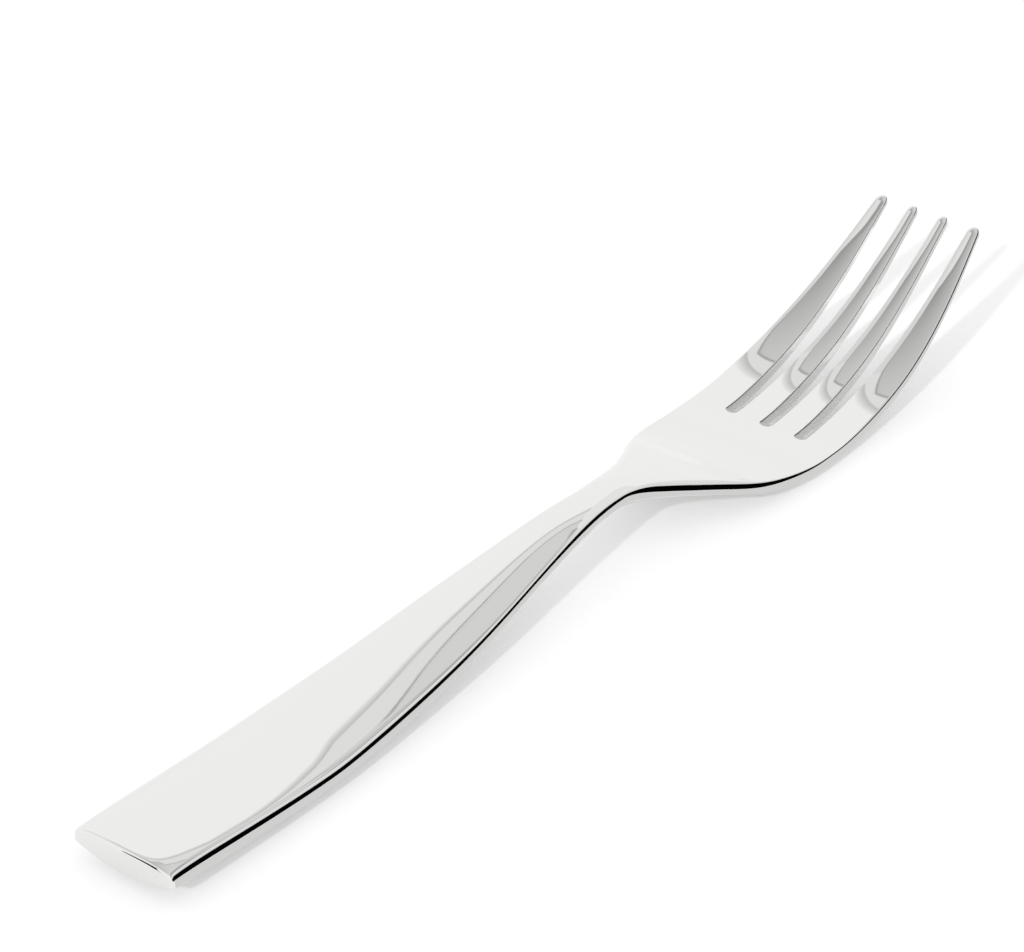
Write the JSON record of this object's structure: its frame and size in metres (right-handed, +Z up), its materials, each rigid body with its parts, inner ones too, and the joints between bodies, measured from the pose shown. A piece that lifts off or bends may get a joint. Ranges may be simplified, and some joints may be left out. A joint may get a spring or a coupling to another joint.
{
  "type": "pastry fork",
  "caption": "Small table fork with a square-ended handle that tapers to an arched neck, a flat palm and upswept pointed tines, all in polished steel.",
  "frame": {"origin": "middle of the fork's length and width, on the surface it rests on", "axes": "+X from the butt of the handle to the tips of the tines, +Y to the left, +Z up"},
  "size_m": [0.15, 0.0216, 0.017],
  "materials": {
    "polished_stainless_steel": "polished"
  },
  "bodies": {
    "root": {"handle": "polished_stainless_steel", "neck": "polished_stainless_steel", "palm": "polished_stainless_steel", "left_outer_tine": "polished_stainless_steel", "left_inner_tine": "polished_stainless_steel", "right_inner_tine": "polished_stainless_steel", "right_outer_tine": "polished_stainless_steel"}
  },
  "joints": []
}
